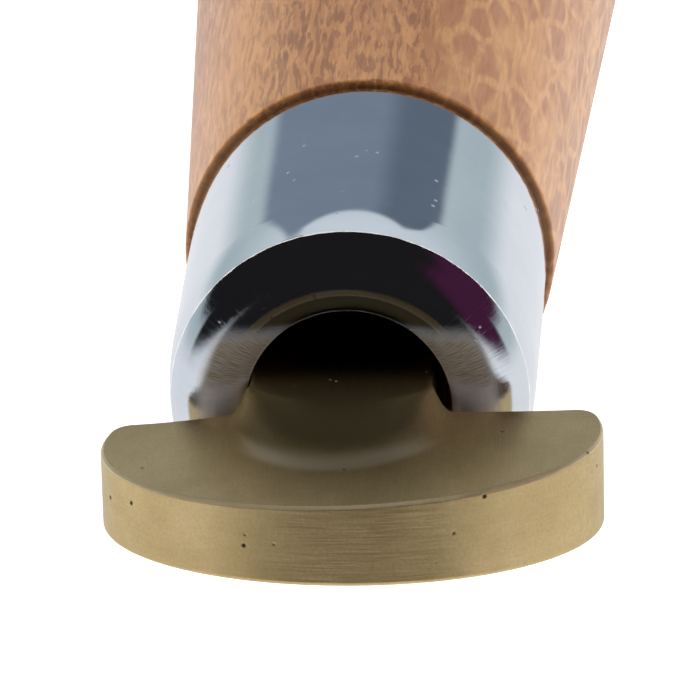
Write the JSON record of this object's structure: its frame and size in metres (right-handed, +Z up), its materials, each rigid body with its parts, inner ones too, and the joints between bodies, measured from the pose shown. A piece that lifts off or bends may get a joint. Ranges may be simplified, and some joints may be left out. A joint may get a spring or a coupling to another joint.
{
  "type": "hand smoothing tool",
  "caption": "Turned wooden handle with a plated, round-nosed ferrule and a flat D-shaped brass head on a neck, for pressing and smoothing by hand.",
  "frame": {"origin": "below the middle of the tool's length, level with the lowest point of the handle, in the tool's middle plane", "axes": "+Y runs along the handle's axis from the head to the butt, +Z is up, the head's flat sole faces -Z, +X is to the right seen from the head's end"},
  "size_m": [0.0353, 0.1522, 0.0352],
  "materials": {
    "brass": "cast brass, filed and sanded, satin",
    "plated_steel": "bright plating with fine scratches round the nose",
    "wood": "turned hardwood with ray flecks, thin satin finish",
    "steel": "plain steel",
    "insert_brass": "turned brass"
  },
  "bodies": {
    "root": {"brass_head": "brass", "ferrule": "plated_steel", "handle": "wood", "clamp_washer": "steel", "tang_stud": "steel", "threaded_insert": "insert_brass", "lock_screw": "steel", "ferrule_brads": "steel"}
  },
  "joints": []
}
